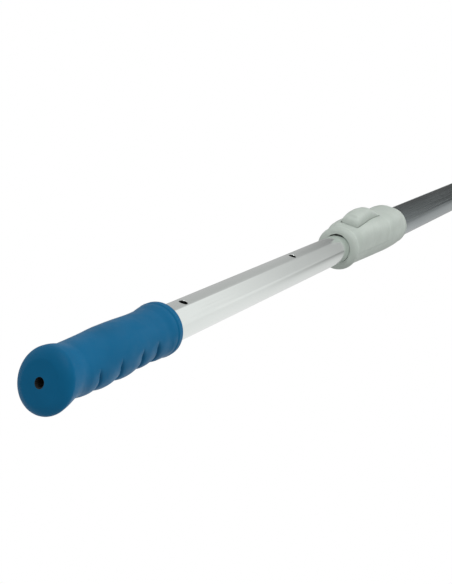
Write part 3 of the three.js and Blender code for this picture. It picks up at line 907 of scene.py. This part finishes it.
def box_section(rear, front, top, bottom, corner, inset=0.0):
    """A rounded box outline as (a, depth) points, starting at the rear of the top."""
    steps = 5
    corner = max(corner - inset, 0.4)
    rear, front, top, bottom = rear + inset, front - inset, top + inset, bottom - inset
    points = []
    for ca, cd, first in (
        (rear + corner, top + corner, 180), (front - corner, top + corner, 270),
        (front - corner, bottom - corner, 0), (rear + corner, bottom - corner, 90),
    ):
        for i in range(steps + 1):
            turn = math.radians(first + 90 * i / steps)
            points.append((ca + corner * math.cos(turn), cd + corner * math.sin(turn)))
    return points


def add_brush_back():
    stations = []
    for i in range(161):
        distance = -BACK_HALF + 2 * BACK_HALF * i / 160
        clear = abs(distance)
        pocket = 1.8 * smoothstep(clear, 33, 36) * smoothstep(-clear, -BACK_HALF + 5, -BACK_HALF + 8)
        section = box_section(BACK_REAR, BACK_FRONT, 0, BACK_THICK, 2.6)
        floor = [
            (-17.5, 0.0), (-16.7, pocket), (2.6, pocket), (3.4, 0.0), (8.6, 0.0), (9.4, pocket),
            (28.7, pocket), (29.5, 0.0),
        ]
        stations.append((distance, section[:6] + floor + section[6:]))
    back = loft("back_moulding", swept_rings(stations), HEAD_PLACE)
    for x, y in FOOT_SCREWS:
        cut(back, post("drill", x, y, [(-9.4, SCREW_HOLE_R), (2, SCREW_HOLE_R)], 32, HEAD_PLACE))
    shaded(back, 30)
    finished(back, "outer_pole", "back_blue", "brush_back")


def add_bumpers():
    for word, side in (("left", 1), ("right", -1)):
        stations = []
        for along, inset in [(0.3, 0.5), (0.8, 0.0)] + [
            (2.5 + 5.5 * math.sin(math.radians(a)), 4.5 * (1 - math.cos(math.radians(a))))
            for a in range(0, 91, 10)
        ]:
            section = box_section(BACK_REAR - 1, BACK_FRONT + 1, -1.5, BACK_THICK + 1.5, 5.0, inset)
            stations.append((side * (BACK_HALF + along), section))
        bumper = loft("bumper_" + word, swept_rings(stations), HEAD_PLACE)
        finished(bumper, "outer_pole", "bumper_rubber", "end_bumper_" + word)


def filament(centre, row, random):
    """One bristle as rings of (distance, a, depth), flaring and bending a little towards its tip."""
    turn, reach = random.uniform(0, math.tau), TUFT_R * math.sqrt(random.uniform(0, 1))
    out_b, out_a = reach * math.cos(turn), reach * math.sin(turn)
    bend_b, bend_a = random.uniform(-BRISTLE_BEND, BRISTLE_BEND, 2)
    tip = BRISTLE_TIP - random.uniform(0, BRISTLE_UNEVEN)
    rings = []
    for share in (0.0, 0.35, 0.7, 1.0):
        flare = 1 + TUFT_FLARE * share**1.4
        b = centre + out_b * flare + bend_b * share**2
        a = row + out_a * flare + bend_a * share**2
        depth = BRISTLE_ROOT + (tip - BRISTLE_ROOT) * share
        radius = BRISTLE_R - BRISTLE_TAPER * share
        rings.append([
            (b + radius * math.cos(k), a + radius * math.sin(k), depth)
            for k in (math.tau * i / 5 for i in range(5))
        ])
    return rings


def add_tufts():
    random = np.random.default_rng(7)
    for number, row in enumerate(TUFT_ROWS, 1):
        vertices, faces = [], []
        for i in range(-TUFTS_PER_SIDE, TUFTS_PER_SIDE):
            centre = TUFT_PITCH * (i + 0.5)
            for _ in range(BRISTLES_PER_TUFT):
                rings = filament(centre, row, random)
                first = len(vertices)
                for ring in rings:
                    for b, a, depth in ring:
                        vertices.append((a, *sweep_point(b, depth)))
                count = len(rings[0])
                faces += [tuple(first + v for v in face) for face in ring_faces(len(rings), count)]
                last = first + (len(rings) - 1) * count
                faces.append(tuple(first + k for k in range(count)))
                faces.append(tuple(last + k for k in range(count)))
        tufts = made(f"bristles_{number}", vertices, faces, HEAD_PLACE, 60)
        finished(tufts, "outer_pole", "nylon_bristle", f"tuft_row_{number}")


def add_foot_screws():
    seat = FOOT_TOP + 0.3
    top = seat + 2
    for number, (x, y) in enumerate(FOOT_SCREWS, 1):
        profile = [
            (-9, 0.5), (-8.2, 1.6), (seat, 1.6), (seat + 0.02, 3.3), (seat + 0.3, 3.4), (seat + 0.9, 3.3),
            (seat + 1.5, 2.9), (seat + 1.9, 2.1), (top, 1.2),
        ]
        screw = post(f"foot_screw_{number}_turned", x, y, profile, place=HEAD_PLACE)
        cut(screw, *cross_slot(x, y, top, 1.9, HEAD_PLACE))
        shaded(screw, 35)
        finished(screw, "outer_pole", "stainless_steel", f"foot_screw_{number}")


# ---------------------------------------------------------------- stage


class Shades:
    """Short ways to build the floor's and the world's node trees."""

    def __init__(self, tree):
        self.tree = tree
        tree.nodes.clear()
        self.rays = tree.nodes.new("ShaderNodeLightPath").outputs

    def mapped(self, value, first, last, bottom, top):
        node = self.tree.nodes.new("ShaderNodeMapRange")
        node.interpolation_type = "SMOOTHSTEP"
        for name, number in (("From Min", first), ("From Max", last), ("To Min", bottom), ("To Max", top)):
            node.inputs[name].default_value = number
        self.tree.links.new(value, node.inputs["Value"])
        return node.outputs["Result"]

    def math(self, operation, first, second):
        node = self.tree.nodes.new("ShaderNodeMath")
        node.operation = operation
        for socket, value in zip(node.inputs, (first, second)):
            if isinstance(value, float):
                socket.default_value = value
            else:
                self.tree.links.new(value, socket)
        return node.outputs[0]

    def mixed(self, share, first, second):
        node = self.tree.nodes.new("ShaderNodeMix")
        self.tree.links.new(share, node.inputs["Factor"])
        for name, value in (("A", first), ("B", second)):
            if isinstance(value, float):
                node.inputs[name].default_value = value
            else:
                self.tree.links.new(value, node.inputs[name])
        return node.outputs["Result"]

    def finish(self, kind, output, strength):
        shader = self.tree.nodes.new(kind)
        shader.inputs["Color"].default_value = (1, 1, 1, 1)
        self.tree.links.new(strength, shader.inputs["Strength"])
        end = self.tree.nodes.new(output)
        self.tree.links.new(shader.outputs[0], end.inputs["Surface"])


def add_stage():
    """A pale floor that is plain white to the camera, with no shadow, and softer in reflections.

    Reflections of the floor close to the pole fade along it. Those of the floor further off take the
    brightness of the room's light side in the same direction, so that no edge shows where they meet.
    """
    bpy.ops.mesh.primitive_plane_add(size=30, location=(0, 0, -0.0005))
    floor = bpy.context.object
    floor.name = "floor"
    material = bpy.data.materials.new("floor")
    material.use_nodes = True
    shades = Shades(material.node_tree)
    place = material.node_tree.nodes.new("ShaderNodeTexCoord")
    split = material.node_tree.nodes.new("ShaderNodeSeparateXYZ")
    material.node_tree.links.new(place.outputs["Object"], split.inputs[0])
    near = shades.mapped(split.outputs["X"], -0.65, 0.1, 0.84, 0.42)
    ahead = shades.math("ADD", split.outputs["X"], 0.6)
    aside = shades.math("MULTIPLY", split.outputs["Y"], -1.0)
    far = shades.mapped(shades.math("DIVIDE", ahead, aside), 1.6, 3.4, 0.88, 0.22)
    reflected = shades.mixed(shades.mapped(aside, 0.03, 0.3, 0.0, 1.0), near, far)
    seen = shades.mixed(shades.rays["Is Glossy Ray"], 0.5, reflected)
    strength = shades.mixed(shades.rays["Is Camera Ray"], seen, 1.0)
    shades.finish("ShaderNodeEmission", "ShaderNodeOutputMaterial", strength)
    floor.data.materials.append(material)


def add_world():
    """A white room, with a soft edge between its light and dark sides where the tubes reflect it.

    x, y and z are the direction looked in. Towards the camera the tubes reflect x from 0.85, near
    the grip, to 0.96, past the collar. Further round, the room fades down to its foot and to its back.
    """
    world = bpy.data.worlds.new("studio")
    bpy.context.scene.world = world
    world.use_nodes = True
    shades = Shades(world.node_tree)
    split = world.node_tree.nodes.new("ShaderNodeSeparateXYZ")
    place = world.node_tree.nodes.new("ShaderNodeTexCoord")
    world.node_tree.links.new(place.outputs["Generated"], split.inputs[0])
    x, y, z = split.outputs
    light_side = shades.mapped(x, 0.855, 0.93, 0.9, 0.48)
    dark_side = shades.mapped(x, 0.90, 0.952, 0.5, 0.08)
    edge = shades.math("ADD", y, shades.mapped(x, 0.93, 0.955, 0.0, 0.5))
    ahead = shades.mixed(shades.mapped(edge, -0.06, 0.0, 0.0, 1.0), light_side, dark_side)
    around = shades.mapped(z, 0.0, 0.8, 0.35, 1.0)
    behind = shades.mapped(x, -0.9, -0.2, 0.1, 1.0)
    dimmed = shades.mixed(behind, 0.08, around)
    reflected = shades.mixed(shades.mapped(x, 0.55, 0.75, 0.0, 1.0), dimmed, ahead)
    seen = shades.mixed(shades.rays["Is Glossy Ray"], 0.58, reflected)
    strength = shades.mixed(shades.rays["Is Camera Ray"], seen, 1.0)
    shades.finish("ShaderNodeBackground", "ShaderNodeOutputWorld", strength)


def add_area(name, at, target, size, power):
    data = bpy.data.lights.new(name, "AREA")
    data.size = size
    data.energy = power
    lamp = bpy.data.objects.new(name, data)
    bpy.context.scene.collection.objects.link(lamp)
    lamp.location = at
    lamp.rotation_mode = "QUATERNION"
    lamp.rotation_quaternion = (Vector(target) - Vector(at)).to_track_quat("-Z", "Y")
    return lamp


def add_lights():
    """A soft key from above, and three lamps that no reflection shows: fill, rim and collar front."""
    middle = Vector((-0.45, 0, 0.05))
    add_area("key", middle + Vector((-0.7, -1.0, 3.0)), middle, 1.8, 23)
    fill = add_area("fill", middle + Vector((1.6, -2.8, 0.7)), middle, 1.5, 34)
    rim = add_area("rim", middle + Vector((3.2, -0.6, 0.5)), middle, 1.0, 30)
    front = add_area("front", Vector((-0.78, -0.10, 0.42)), Vector((-0.40, 0, 0.06)), 0.15, 0.07)
    front.data.spread = math.radians(55)
    for lamp in (fill, rim, front):
        lamp.visible_glossy = False
        lamp.visible_camera = False


def dress_cad_nodes():
    """Gives the CAD nodes that still show, the clip's heel and legs, their slots' materials."""
    slots = {part["node"]: part["material_slot"] for part in frame["record"]["subparts"]}
    for node in frame["nodes"].values():
        if not node.hide_render:
            node.data.materials.clear()
            node.data.materials.append(MATERIALS[slots[node.name]])


# ---------------------------------------------------------------- the scene

add_camera()
add_grip()
add_inner_tube()
add_outer_tube()
add_bushes()
add_collar()
add_lever()
add_lock_parts()
add_spring()
add_bracket()
add_clip_buttons()
add_brush_back()
add_bumpers()
add_tufts()
add_foot_screws()
dress_cad_nodes()
add_stage()
add_world()
add_lights()
bpy.context.scene.view_settings.view_transform = "Standard"
